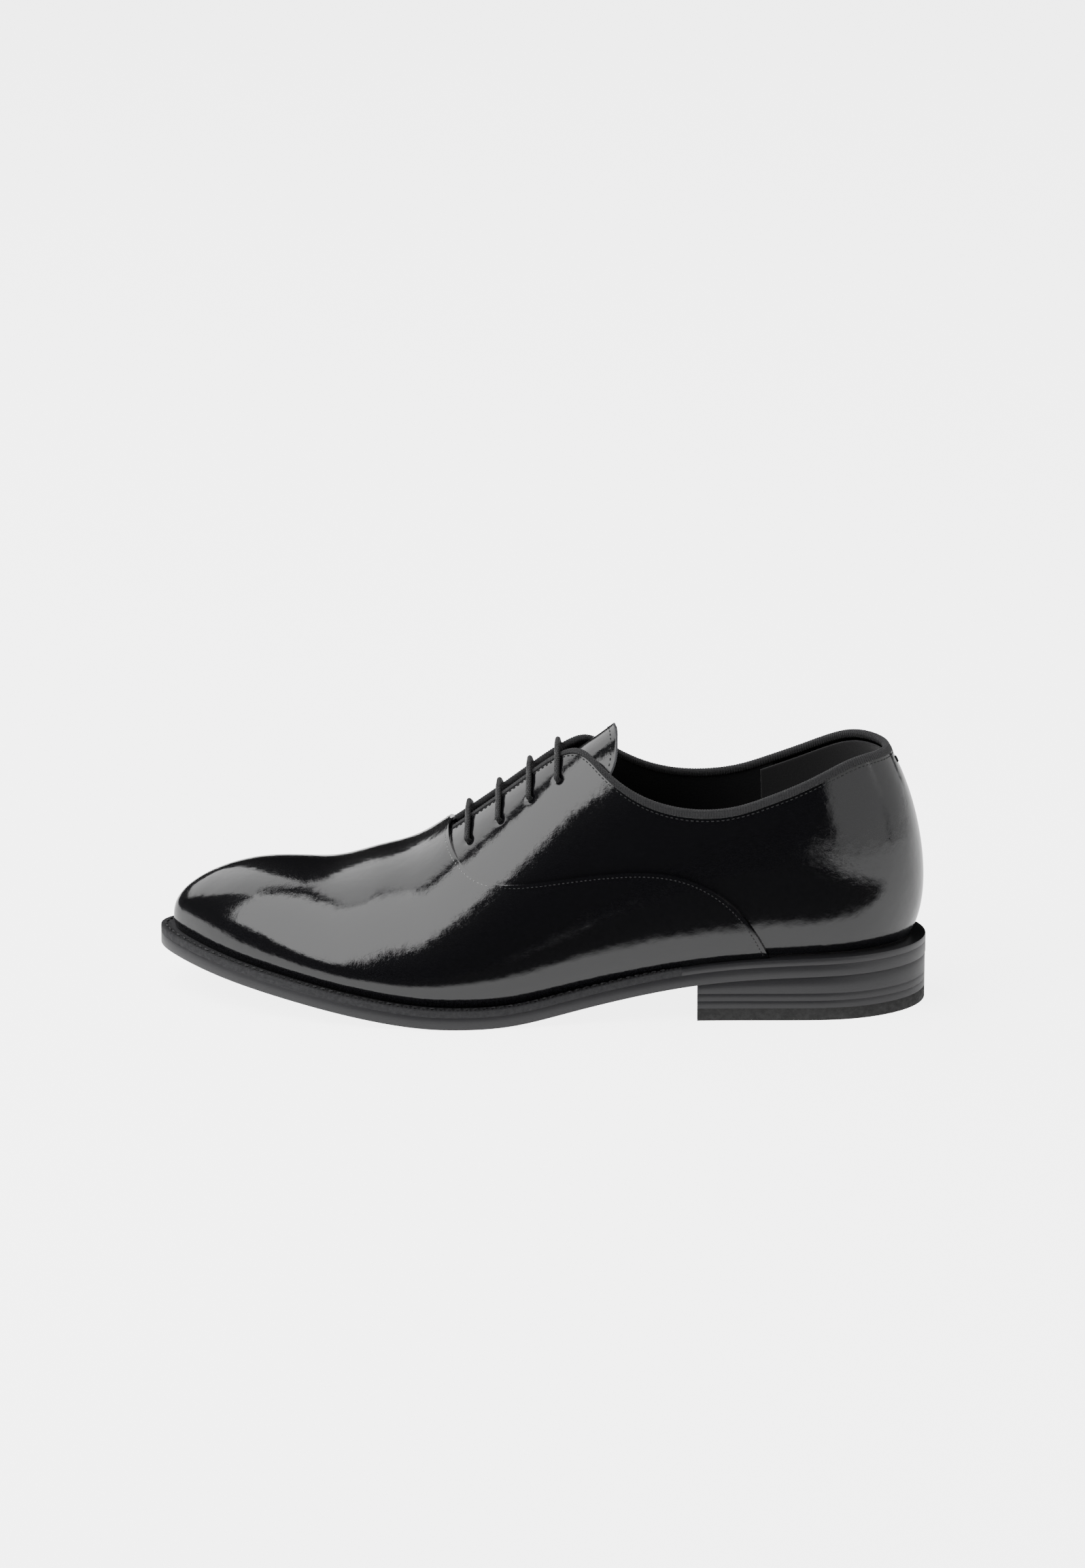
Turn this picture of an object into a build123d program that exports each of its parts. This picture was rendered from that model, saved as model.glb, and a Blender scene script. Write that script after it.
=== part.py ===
"""A man's left oxford shoe in patent leather, laced, with its stacked leather heel.

The frame: x runs from the toe (-) to the heel (+), y from the outer side of the foot (-) to the
inner side (+), z up from the ground. Millimetres. The origin is under the middle of the shoe.

Every upper piece follows one last surface. A point on it is named by s, the way round the
feather line (0 heel, about 0.5 toe, 1 heel again), and t, the way up (0 feather, 1 crest).
Pieces are sheets between two depths under that surface.
"""
from build123d import *
import math
import os
import numpy as np

# Sole and heel
OUTSOLE_THICK = 5.0
WELT_THICK = 2.8
SOLE_EDGE = OUTSOLE_THICK + WELT_THICK
WELT_INSET = 7.2
WELT_END = 56.0
BREAST_X = 62.0
LIFT_TOPS = (5.0, 8.0, 11.0)
INSOLE_LOW, INSOLE_HIGH = 8.0, 10.4
SOCK_HIGH = 11.2
LAYER_GAP = 0.05
INSOLE_INSET, SOCK_INSET = 9.6, 10.0
SOCK_X = 48.0
SHANK_LOW, SHANK_HIGH = 5.6, 6.9
SHANK_OUTLINE = ((18, -5), (100, -7), (100, 8), (18, 6))
HEEL_INSET = 0.2
NAIL_RADIUS = 0.9
NAIL_LOW, NAIL_TOP = 0.4, 15.0
NAIL_PLACES = ((72, -24), (72, 25), (104, -25), (104, 27), (134, -13), (134, 17))
# Half length, half width and height of the blocks the bottom's pieces are cut from
REACH, HALF_WIDTH, TALL = 160.0, 80.0, 60.0

# Depths under the last surface, outer face then inner face
VAMP = (0.0, 1.4)
QUARTER = (1.55, 2.6)
PUFF = (1.55, 2.65)
INTERLINING = (1.5, 2.0)
STAY = (2.7, 3.1)
COUNTER = (2.8, 3.8)
LINING = (3.15, 3.75)
EYELET = (3.95, 4.2)
GRIP = (4.0, 4.8)
BINDING = (1.0, 4.2)
BINDING_HEIGHT = 2.2
TONGUE = (7.0, 8.2)
TONGUE_LINING = (8.25, 8.9)

# Edges of the upper's pieces
LAP = 7.0
FOOT_T = 0.004
COUNTER_X, COUNTER_DROP = 97.0, 0.075
GRIP_X, GRIP_DROP = 86.0, 0.002
PUFF_X, INTERLINING_X = -104.0, (-52.0, -102.0)
STAY_X, STAY_T, STAY_DROP = (10.0, -32.0), 0.62, 0.01
BINDING_X, BINDING_LIFT = -36.0, 0.0008
TONGUE_X, TONGUE_EDGE_T = (25.0, -50.0), 0.66
# The tongue's back end turns up by this much, over its last part only
TONGUE_RISE, TONGUE_FLICK = 1.6, 8

# Lacing
EYELET_X = (-29.0, -17.0, -5.0, 6.0)
EYELET_T = 0.71
HOLE_RADIUS = 1.6
EYELET_RADIUS = 2.6
LACE_RADIUS = 1.1
LACE_BEND = 1.25
LACE_OUT = 0.1
LACE_OVER = -0.5
LACE_IN = 5.4
AGLET_RADIUS = 1.3
AGLET_LENGTH = 20.0
AGLET_GAP = 0.15
MIDDLE_T = 0.82
BINDING_T = 0.93
INSIDE_X, INSIDE_T = -12.0, 0.61
# Under the facings, from one eyelet to the next pair's: side, share of the pitch, height
DIAGONAL = ((1, 1 / 6, MIDDLE_T), (1, 1 / 3, BINDING_T), (-1, 2 / 3, BINDING_T), (-1, 5 / 6, MIDDLE_T))
# Each free end starts here, clear of the tongue's edge, with a short straight lead into it
END_X, END_T, END_DEPTH = 12.0, 0.555, 5.9
END_LEAD = 2.0
# The two free ends, tucked in along the walls and forward over the insole
END_LATERAL = [(21.5, -22.5, 73.0), (30.0, -27.0, 59.0), (36.5, -29.3, 43.0),
               (33.0, -27.5, 28.0), (18.0, -23.0, 19.2), (0.0, -19.0, 14.4), (-20.0, -16.0, 12.1)]
END_MEDIAL = [(20.5, 18.5, 74.0), (29.5, 22.2, 60.0), (36.0, 24.5, 45.0),
              (33.0, 23.2, 29.5), (19.0, 19.5, 19.8), (1.0, 16.5, 14.6), (-18.0, 14.5, 12.2)]

# Welt stitches
STITCH_PITCH = 3.4
STITCH = (2.3, 0.8, 0.5)
STITCH_INSET = 2.1
STITCH_LIFT = 0.12
STITCH_STOP = 4.0

# Plan outline of the outsole, from the back of the heel round the outer side
OUTLINE = [
    (151.0, 1.5), (147.5, -11.5), (138.0, -22.0), (122.0, -30.0), (100.0, -33.0), (62.0, -35.0),
    (20.0, -41.0), (-10.0, -48.0), (-42.0, -51.5), (-72.0, -48.0), (-100.0, -38.5),
    (-125.0, -25.0), (-142.0, -10.5), (-151.5, 6.0), (-147.0, 19.0), (-132.0, 31.5),
    (-100.0, 46.0), (-64.0, 51.5), (-30.0, 47.0), (5.0, 36.5), (35.0, 31.0), (62.0, 33.0),
    (100.0, 35.5), (122.0, 33.0), (138.0, 25.0), (147.5, 14.5),
]
# Underside of the outsole along the shoe
BASE = [(-160.0, 18.0), (-151.5, 16.4), (-125.0, 11.8), (-95.0, 7.2), (-65.0, 2.8), (-42.0, 0.35),
        (-26.0, 0.0), (-10.0, 0.9), (10.0, 4.6), (35.0, 9.8), (60.0, 14.1), (85.0, 16.6),
        (120.0, 18.0), (152.0, 18.4), (160.0, 18.4)]


def natural_spline(stations):
    """The natural cubic spline through (x, value) stations, as a function of x."""
    x, value = np.array(stations, float).T
    gap = np.diff(x)
    matrix = np.eye(len(x))
    right = np.zeros(len(x))
    for i in range(1, len(x) - 1):
        matrix[i, i - 1:i + 2] = gap[i - 1], 2 * (gap[i - 1] + gap[i]), gap[i]
        right[i] = 6 * ((value[i + 1] - value[i]) / gap[i] - (value[i] - value[i - 1]) / gap[i - 1])
    bend = np.linalg.solve(matrix, right)

    def at(query):
        q = np.clip(np.asarray(query, float), x[0], x[-1])
        i = np.clip(np.searchsorted(x, q) - 1, 0, len(x) - 2)
        a, b, h = x[i + 1] - q, q - x[i], gap[i]
        cubic = (bend[i] * a ** 3 + bend[i + 1] * b ** 3) / (6 * h)
        return cubic + (value[i] / h - bend[i] * h / 6) * a + (value[i + 1] / h - bend[i + 1] * h / 6) * b

    return at


def closed_spline(points):
    """The closed cubic spline through plan points, as a function of s in turns."""
    p = np.array(points, float)
    count = len(p)
    step = np.linalg.norm(np.roll(p, -1, 0) - p, axis=1)
    knot = np.concatenate([[0], np.cumsum(step)])
    matrix = np.zeros((count, count))
    right = np.zeros((count, 2))
    for i in range(count):
        after = (i + 1) % count
        matrix[i, i - 1] += step[i - 1]
        matrix[i, i] += 2 * (step[i - 1] + step[i])
        matrix[i, after] += step[i]
        right[i] = 6 * ((p[after] - p[i]) / step[i] - (p[i] - p[i - 1]) / step[i - 1])
    bend = np.linalg.solve(matrix, right)
    p, bend = np.vstack([p, p[:1]]), np.vstack([bend, bend[:1]])

    def at(turns):
        q = (np.asarray(turns, float) % 1.0) * knot[-1]
        i = np.clip(np.searchsorted(knot, q, side="right") - 1, 0, count - 1)
        a, b, h = (knot[i + 1] - q)[..., None], (q - knot[i])[..., None], step[i][..., None]
        cubic = (bend[i] * a ** 3 + bend[i + 1] * b ** 3) / (6 * h)
        return cubic + (p[i] / h - bend[i] * h / 6) * a + (p[i + 1] / h - bend[i + 1] * h / 6) * b

    return at


outline = closed_spline(OUTLINE)
base_z = natural_spline(BASE)
crest_z = natural_spline([(-150, 42.5), (-140, 45.2), (-125, 48.6), (-110, 50.8), (-95, 50.9), (-82, 51.2),
                          (-65, 56.0), (-50, 61.0), (-37, 69.5), (-20, 82.2), (0, 97.8), (20, 111.5),
                          (45, 126), (75, 136), (155, 136)])
crest_y = natural_spline([(-150, 6.0), (-110, 6.0), (-60, 6.0), (-20, 4.5), (20, 2.5), (75, 1.5), (155, 1.5)])
margin = natural_spline([(-152, 6.0), (-120, 5.2), (-60, 5.0), (0, 4.2), (40, 3.2), (90, 3.0), (130, 3.6),
                         (152, 4.4)])
bulge_outer = natural_spline([(-152, 0.8), (-120, 1.6), (-80, 3.4), (-40, 5.0), (10, 5.4), (60, 5.0),
                              (110, 5.0), (152, 5.0)])
bulge_inner = natural_spline([(-152, 0.8), (-120, 1.4), (-80, 3.0), (-40, 4.2), (10, 6.0), (60, 6.6),
                              (110, 5.2), (152, 5.0)])
height_power = natural_spline([(-152, 4.2), (-125, 3.6), (-90, 2.6), (-50, 2.25), (-10, 2.05), (30, 2.2),
                               (70, 2.6), (110, 3.1), (152, 3.35)])
# The crest line's two ends, how softly the surface gathers on them, where the sides bulge most
CREST_FRONT, CREST_BACK, CREST_SOFT = -116.0, 75.0, 9.0
BULGE_LEVEL = 0.24
WIDTH_POWER = 2.0
TINY = 1e-3
FIT = 0.04
# Forward of this x the upper's rows leave the cross-sections and bend down over the toe, gathering
# by this share towards its tip
NOSE_X, NOSE_GATHER = -128.0, 0.5


def outward(s):
    """The outline's unit normal in plan, pointing out of the shoe."""
    run = outline(s + TINY) - outline(s - TINY)
    out = np.stack([-run[..., 1], run[..., 0]], -1)
    return out / np.linalg.norm(out, axis=-1, keepdims=True)


def last_point(s, t):
    """The last surface: a super-ellipse from the feather line in to the crest line at each s."""
    edge, out = outline(s), outward(s)
    foot = edge - out * margin(edge[..., 0])[..., None]
    x = foot[..., 0]
    soft = CREST_SOFT * (np.logaddexp(0, (x - CREST_FRONT) / CREST_SOFT)
                         - np.logaddexp(0, (x - CREST_BACK) / CREST_SOFT))
    crest_x = CREST_FRONT + soft
    crest = np.stack([crest_x, crest_y(crest_x)], -1)
    inner = 1 / (1 + np.exp(-(foot[..., 1] - crest_y(x)) / 6.0))
    bulge = bulge_outer(x) * (1 - inner) + bulge_inner(x) * inner
    level = np.sin(t * math.pi / 2)
    pull = 1 - np.clip(1 - level ** height_power(x), 0, 1) ** (1 / WIDTH_POWER)
    swell = (level / BULGE_LEVEL) * np.exp(1 - level / BULGE_LEVEL) * (1 - level ** 4)
    plan = foot + (crest - foot) * pull[..., None] + out * (bulge * swell)[..., None]
    low = base_z(plan[..., 0]) + SOLE_EDGE
    z = low + (crest_z(plan[..., 0]) - low) * level
    return np.concatenate([plan, z[..., None]], -1)


def under(s, t, depth):
    """The point a depth under the last surface, along its normal."""
    s, t = np.broadcast_arrays(np.asarray(s, float), np.asarray(t, float))
    flat = np.clip(t, 2 * TINY, 1 - 4 * TINY)
    along = last_point(s + TINY, flat) - last_point(s - TINY, flat)
    up = last_point(s, flat + TINY) - last_point(s, flat - TINY)
    normal = np.cross(up, along)
    normal /= np.linalg.norm(normal, axis=-1, keepdims=True)
    return last_point(s, t) - normal * np.asarray(depth)[..., None]


_table = np.linspace(0, 1, 2001)
_feather_x = last_point(_table, np.zeros_like(_table))[:, 0]
_turn = int(np.argmin(_feather_x))
S_TOE = float(_table[_turn])


def s_at(side, x):
    """The s on one side (-1 outer, 1 inner) whose feather point has this x."""
    if side < 0:
        return np.interp(-np.asarray(x, float), -_feather_x[:_turn], _table[:_turn])
    return np.interp(np.asarray(x, float), _feather_x[_turn:], _table[_turn:])


# Lines on the last: the vamp's back edge and the quarters' top edge
seam_x = natural_spline([(0.0, 90.0), (0.101, 80.4), (0.187, 65.4), (0.243, 48.3), (0.291, 26.8),
                         (0.35, 1.9), (0.426, -16.6), (0.556, -29.0), (0.75, -35.5), (1.0, -37.0)])
top_t = natural_spline([(-48, 0.905), (-37, 0.905), (-20, 0.90), (-6, 0.895), (5, 0.885), (13, 0.82),
                        (22, 0.66), (32, 0.526), (44, 0.436), (55, 0.391), (66, 0.369), (78, 0.366),
                        (90, 0.382), (103, 0.408), (117, 0.444), (132, 0.478), (148, 0.487)])
_seam_t = np.linspace(0, 1, 401)


def seam_t(x):
    """The height of the vamp's back edge at x, 0 behind its heel end."""
    return np.interp(-np.asarray(x, float), -seam_x(_seam_t), _seam_t)


def surface(points):
    """A smooth face through a grid of points."""
    rows = [[Vector(*p) for p in row] for row in points]
    return Face.make_surface_from_array_of_points(rows, tol=FIT, min_deg=1, max_deg=3)


def sheet(outer, inner):
    """The closed solid between two grids, its four edges ruled from face to face."""
    top, low = surface(outer), surface(inner)
    walls = [Face.make_surface_from_curves(a, b) for a, b in zip(top.edges(), low.edges())]
    solid = Solid(Shell([top, low, *walls]))
    return solid if solid.volume > 0 else Solid(solid.wrapped.Reversed())


def side_run(side, x_back, x_front, columns=26):
    """The s values along one side of the last."""
    return np.linspace(float(s_at(side, x_back)), float(s_at(side, x_front)), columns)


def heel_run(x, columns):
    """The s values round the heel, from x on the inner side to x on the outer side."""
    return np.linspace(float(s_at(1, x)) - 1, float(s_at(-1, x)), columns)


def panel(s, low_t, high_t, depths, rows=10):
    """A sheet along a run of s between two heights, each a function of x."""
    x = last_point(s, np.zeros(len(s)))[:, 0]
    low, high = low_t(x), high_t(x)
    t = low[:, None] + (high - low)[:, None] * np.linspace(0, 1, rows)[None, :]
    return sheet(*[under(s[:, None] + 0 * t, t, d) for d in depths])


def bisect(function, target, low, high):
    """Where a falling function meets its target, by halving, for whole arrays."""
    for _ in range(36):
        middle = (low + high) / 2
        above = function(middle) > target
        low = np.where(above, middle, low)
        high = np.where(above, high, middle)
    return (low + high) / 2


def section_places(x, v, depth, edge_t):
    """s and t of cross-sections at x; v runs from -1 on the outer edge over the crest to 1."""
    x, v = np.broadcast_arrays(np.asarray(x, float), np.asarray(v, float))
    toe = np.full(x.shape, S_TOE)
    highest = bisect(lambda t: -under(toe, t, depth)[..., 0], -x, np.zeros(x.shape), np.ones(x.shape))
    t = highest - (highest - edge_t) * np.abs(v)
    outer_s = bisect(lambda s: under(s, t, depth)[..., 0], x, np.zeros(x.shape), toe)
    inner_s = 1 - bisect(lambda s: under(1 - s, t, depth)[..., 0], x, np.zeros(x.shape), 1 - toe)
    return np.where(v < 0, outer_s, inner_s), t


def over_nose(s, t, rows):
    """The places carried on from their last row down over the toe to the feather line."""
    share = np.linspace(0, 1, rows + 1)[1:, None]
    nose_s = S_TOE + (s[-1] - S_TOE) * (1 - NOSE_GATHER * share)
    return np.concatenate([s, nose_s]), np.concatenate([t, t[-1] * (1 - share)])


def crossing_sheet(x_back, x_front, depths, edge_t=0.0, stations=22, spread=41, rise=0.0, nose=0):
    """A sheet over the crest from x_back(t) to x_front, or round the toe with rows over its nose.

    With a rise, its back end turns up towards the last surface by that much.
    """
    v = np.linspace(-1, 1, spread)[None, :]
    w = np.linspace(0, 1, stations)[:, None]
    start = x_back(1.0)
    lean = (x_back(1 - (1 - edge_t) * np.abs(v)) - start) * (1 - w) ** 2
    x = x_front + (start - x_front) * (1 - w) + lean
    grids = []
    for depth in depths:
        level = depth - rise * (1 - w) ** TONGUE_FLICK
        s, t = section_places(x, v, level, edge_t)
        if nose:
            s, t = over_nose(s, t, nose)
            level = depth
        grids.append(under(s, t, level))
    return sheet(*grids)


def ring(inset):
    """The outsole's outline moved in by an inset, as a closed plan curve."""
    s = np.linspace(0, 1, 48, endpoint=False)
    points = outline(s) - outward(s) * inset
    return Spline(*[(float(x), float(y)) for x, y in points], periodic=True)


def prism(inset):
    """A tall upright block with the outline moved in by an inset."""
    return extrude(make_face(ring(inset)), TALL)


def band(low, high, x_from=2 - REACH):
    """A wide block between two copies of the sole's underside curve, cut square at both ends."""
    x = np.linspace(x_from, REACH - 2, 24)
    lower = Spline(*[(float(a), 0, float(base_z(a) + low)) for a in x])
    upper = Spline(*[(float(a), 0, float(base_z(a) + high)) for a in x])
    ends = [Line(lower @ 0, upper @ 0), Line(lower @ 1, upper @ 1)]
    return extrude(make_face([lower, upper, *ends]), HALF_WIDTH, dir=(0, 1, 0), both=True)


def slab(z_low, z_high, x_from):
    """A block across the shoe between two levels, from x_from backwards."""
    centre = Pos((x_from + REACH) / 2, 0, (z_low + z_high) / 2)
    return centre * Box(REACH - x_from, 2 * HALF_WIDTH, z_high - z_low)


# Bottom
def make_sole():
    """Outsole, welt, heel rand, cork filler, shank, insole and heel sock."""
    full, inside = prism(0), prism(WELT_INSET)
    shank = extrude(make_face(Polyline(*SHANK_OUTLINE, close=True)), TALL) & band(SHANK_LOW, SHANK_HIGH)
    cork = prism(WELT_INSET + LAYER_GAP) & band(OUTSOLE_THICK + LAYER_GAP, INSOLE_LOW - LAYER_GAP)
    rim = (full - inside) & band(OUTSOLE_THICK + LAYER_GAP, SOLE_EDGE)
    return {
        "outsole": full & band(0, OUTSOLE_THICK),
        "welt": rim - slab(0, TALL, WELT_END),
        "heel_rand": rim & slab(0, TALL, WELT_END + LAYER_GAP),
        "cork_filler": cork - shank,
        "shank": shank,
        "insole": prism(INSOLE_INSET) & band(INSOLE_LOW, INSOLE_HIGH),
        "heel_sock": prism(SOCK_INSET) & band(INSOLE_HIGH + LAYER_GAP, SOCK_HIGH, SOCK_X),
    }


def make_heel():
    """Rubber top piece, three leather lifts under the outsole, and the nails through them."""
    block = prism(HEEL_INSET)
    nail = Cylinder(NAIL_RADIUS, NAIL_TOP - NAIL_LOW)
    nails = Compound([Pos(x, y, (NAIL_TOP + NAIL_LOW) / 2) * nail for x, y in NAIL_PLACES])
    levels = (0.0,) + LIFT_TOPS
    names = ("top_piece", "heel_lift_1", "heel_lift_2")
    parts = {name: slab(low, high, BREAST_X) & block for name, low, high in zip(names, levels, levels[1:])}
    wedge = slab(LIFT_TOPS[-1], TALL, BREAST_X) & block
    parts["heel_lift_3"] = wedge - band(-LAYER_GAP, TALL)
    parts = {name: shape - nails for name, shape in parts.items()}
    parts["heel_nails"] = nails
    return parts


def make_welt_stitching():
    """The row of lockstitches that shows on the welt, one short bar of thread each."""
    s = np.linspace(0, 1, 4001)
    track = outline(s) - outward(s) * STITCH_INSET
    way = np.concatenate([[0], np.cumsum(np.linalg.norm(np.diff(track, axis=0), axis=1))])
    bars = []
    for distance in np.arange(STITCH_PITCH, way[-1], STITCH_PITCH):
        x, y = (float(np.interp(distance, way, track[:, i])) for i in (0, 1))
        ahead = [float(np.interp(distance + 1, way, track[:, i])) for i in (0, 1)]
        if x < WELT_END - STITCH_STOP:
            turn = math.degrees(math.atan2(ahead[1] - y, ahead[0] - x))
            slope = math.degrees(math.atan2(float(base_z(x + 1) - base_z(x - 1)), 2))
            top = float(base_z(x)) + SOLE_EDGE + STITCH[2] / 2 + STITCH_LIFT
            bars.append(Pos(x, y, top) * Rot(0, -slope, 0) * Rot(0, 0, turn) * Box(*STITCH))
    return Compound(bars)


# Upper
def make_upper():
    """Vamp, quarters, their linings and the stiffeners between them."""
    foot = lambda x: FOOT_T + 0 * x
    counter, grip = heel_run(COUNTER_X, 41), heel_run(GRIP_X, 41)
    parts = {
        "vamp": crossing_sheet(seam_x, NOSE_X, VAMP, nose=10),
        "vamp_lining": crossing_sheet(lambda t: seam_x(t) - 0.6, NOSE_X, LINING, nose=10),
        "toe_puff": crossing_sheet(lambda t: PUFF_X + 0 * t, NOSE_X, PUFF, stations=8, nose=10),
        "vamp_interlining": crossing_sheet(lambda t: INTERLINING_X[0] + 0 * t, INTERLINING_X[1], INTERLINING,
                                           stations=12),
        "heel_counter": panel(counter, foot, lambda x: top_t(x) - COUNTER_DROP, COUNTER, 9),
        "heel_grip": panel(grip, foot, lambda x: top_t(x) - GRIP_DROP, GRIP, 9),
    }
    for side, name in ((-1, "lateral"), (1, "medial")):
        quarter, lining = side_run(side, 147.5, -43, 34), side_run(side, 91.5, -34, 28)
        stay = side_run(side, *STAY_X, 14)
        parts[f"quarter_{name}"] = panel(quarter, lambda x: seam_t(x + LAP), top_t, QUARTER)
        parts[f"quarter_lining_{name}"] = panel(lining, seam_t, top_t, LINING)
        parts[f"facing_stay_{name}"] = panel(stay, lambda x: STAY_T + 0 * x, lambda x: top_t(x) - STAY_DROP,
                                             STAY, 6)
    return parts


def make_binding():
    """The ribbed ribbon that folds over the quarters' top edge, from throat to throat."""
    s = heel_run(BINDING_X, 90)
    x = last_point(s, np.zeros(len(s)))[:, 0]
    edge = top_t(x)
    step = last_point(s, edge + TINY) - last_point(s, edge - TINY)
    reach = BINDING_HEIGHT * 2 * TINY / np.linalg.norm(step, axis=-1)
    t = edge[:, None] + BINDING_LIFT + reach[:, None] * np.linspace(0, 1, 4)[None, :]
    return sheet(*[under(s[:, None] + 0 * t, t, d) for d in BINDING])


def make_tongue():
    """The tongue's patent face and its lining, one over the other."""
    back, front = TONGUE_X
    layers = {"tongue": TONGUE, "tongue_lining": TONGUE_LINING}
    return {name: crossing_sheet(lambda t: back + 0 * t, front, depths, edge_t=TONGUE_EDGE_T, stations=16,
                                 spread=17, rise=TONGUE_RISE)
            for name, depths in layers.items()}


def eyelet_point(side, x, depth, t=EYELET_T):
    """A place on a row of eyelets at a depth."""
    return Vector(*under(np.array(float(s_at(side, x))), np.array(t), depth))


def eyelet_tube(side, x, radius, depths):
    """A short cylinder through the upper at an eyelet, square to it."""
    start, end = (eyelet_point(side, x, d) for d in depths)
    plane = Plane(origin=start, z_dir=end - start)
    return extrude(plane * Circle(radius), (end - start).length)


def make_eyelets():
    """The eight eyelets set in the underside of the facings, flat rings."""
    rings = []
    for side in (-1, 1):
        for x in EYELET_X:
            rings.append(eyelet_tube(side, x, EYELET_RADIUS, EYELET)
                         - eyelet_tube(side, x, HOLE_RADIUS, (EYELET[0] - 1, EYELET[1] + 1)))
    return Compound([piece.solids()[0] for piece in rings])


def filleted(points, tight):
    """A route of straight runs with a tangent arc at each corner, and its arcs' radii."""
    points = [Vector(*p) for p in points]
    radii = []
    for before, corner, after in zip(points, points[1:], points[2:]):
        turn = math.radians((corner - before).get_angle(after - corner))
        run = min((corner - before).length, (after - corner).length)
        radii.append(min(0.45 * run / math.tan(turn / 2), tight))
    return FilletPolyline(*points, radius=radii), radii


def cord(points, radius, tight=60.0):
    """A round cord along a route."""
    path, radii = filleted(points, tight)
    tube = sweep(Plane(origin=path @ 0, z_dir=path % 0) * Circle(radius), path=path)
    print("  cord length", round(path.length, 1), "bend radii", [round(r, 1) for r in radii])
    return tube


def end_route(side, places):
    """A free end's route, from its start under the facing."""
    return [tuple(eyelet_point(side, END_X, END_DEPTH, END_T))] + places


def lead_in(route):
    """A place straight behind a route's start, so that the threaded lace meets the end in line."""
    start, after = Vector(*route[0]), Vector(*route[1])
    return tuple(start + (start - after).normalized() * END_LEAD)


def lace_route():
    """The threaded lace: straight bars outside, diagonals under the facings, one end run up inside."""
    lateral, medial = end_route(-1, END_LATERAL), end_route(1, END_MEDIAL)
    bar = [(EYELET_T, LACE_IN), (EYELET_T, LACE_OUT), (MIDDLE_T, LACE_OUT), (BINDING_T, LACE_OVER)]
    places = [lateral[0], lead_in(lateral), tuple(eyelet_point(-1, INSIDE_X, LACE_IN, INSIDE_T))]
    for x, after in zip(EYELET_X, EYELET_X[1:] + (None,)):
        places += [tuple(eyelet_point(-1, x, depth, t)) for t, depth in bar]
        places += [tuple(eyelet_point(1, x, depth, t)) for t, depth in reversed(bar)]
        if after is not None:
            places += [tuple(eyelet_point(side, x + share * (after - x), LACE_IN, t))
                       for side, share, t in DIAGONAL]
    return places + [lead_in(medial), medial[0]]


def make_lace():
    """The lace, its two tucked ends and the aglets on them."""
    parts = {"lace": cord(lace_route(), LACE_RADIUS, LACE_BEND)}
    for side, name, places in ((-1, "lateral", END_LATERAL), (1, "medial", END_MEDIAL)):
        parts[f"lace_end_{name}"] = cord(end_route(side, places), LACE_RADIUS)
        last, before = Vector(*places[-1]), Vector(*places[-2])
        level = Vector(last.X - before.X, last.Y - before.Y, 0).normalized()
        start = Plane(origin=last + level * AGLET_GAP, z_dir=level)
        parts[f"aglet_{name}"] = extrude(start * Circle(AGLET_RADIUS), AGLET_LENGTH)
    return parts


def pierce(parts):
    """Eyelet holes through the quarters, their linings and the stays."""
    for side, name in ((-1, "lateral"), (1, "medial")):
        holes = [eyelet_tube(side, x, HOLE_RADIUS, (-1, 6)) for x in EYELET_X]
        for piece in ("quarter", "quarter_lining", "facing_stay"):
            key = f"{piece}_{name}"
            for hole in holes:
                parts[key] = parts[key] - hole


def main():
    os.makedirs("parts", exist_ok=True)
    parts = {}
    parts.update(make_sole())
    parts.update(make_heel())
    parts["welt_stitching"] = make_welt_stitching()
    parts.update(make_upper())
    parts["topline_binding"] = make_binding()
    parts.update(make_tongue())
    parts["eyelets"] = make_eyelets()
    pierce(parts)
    parts.update(make_lace())
    for name, shape in parts.items():
        export_step(shape, f"parts/{name}.step")
        print(name, len(shape.solids()), round(shape.volume), flush=True)


main()
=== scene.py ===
"""Studio scene of a left oxford shoe in black patent leather.

The upper pieces follow one last surface, the same as the CAD model's: a point is named by s, the
way round the feather line (0 heel, about 0.5 toe, 1 heel), and t, the way up (0 feather, 1 crest).
Lengths in the shape functions are millimetres; MM turns them into the scene's metres.
"""
import math
import bpy
import numpy as np
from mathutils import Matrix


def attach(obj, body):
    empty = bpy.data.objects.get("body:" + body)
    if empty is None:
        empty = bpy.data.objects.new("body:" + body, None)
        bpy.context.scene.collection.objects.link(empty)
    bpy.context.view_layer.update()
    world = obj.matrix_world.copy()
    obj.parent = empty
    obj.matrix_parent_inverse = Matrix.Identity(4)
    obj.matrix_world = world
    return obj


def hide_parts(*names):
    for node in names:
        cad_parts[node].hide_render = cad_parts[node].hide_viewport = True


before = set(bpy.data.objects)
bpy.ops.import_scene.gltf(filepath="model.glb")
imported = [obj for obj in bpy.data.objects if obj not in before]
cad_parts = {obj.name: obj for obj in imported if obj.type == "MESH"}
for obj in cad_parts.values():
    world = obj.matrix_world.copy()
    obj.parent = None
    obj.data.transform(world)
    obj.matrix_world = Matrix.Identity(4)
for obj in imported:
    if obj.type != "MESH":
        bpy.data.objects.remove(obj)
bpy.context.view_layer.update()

MM = 0.001
# The step of finite differences in s and t
TINY = 1e-3
# The sole edge's height, the outsole's share of it, the welt's reach inward and the x of its ends
SOLE_EDGE, OUTSOLE_THICK, WELT_INSET, WELT_END = 7.8, 5.0, 7.2, 56.0
BREAST_X = 62.0
# The crest line's ends, softened over a length; the height where the sides swell most
CREST_FRONT, CREST_BACK, CREST_SOFT = -116.0, 75.0, 9.0
BULGE_LEVEL, WIDTH_POWER = 0.24, 2.0
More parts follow.
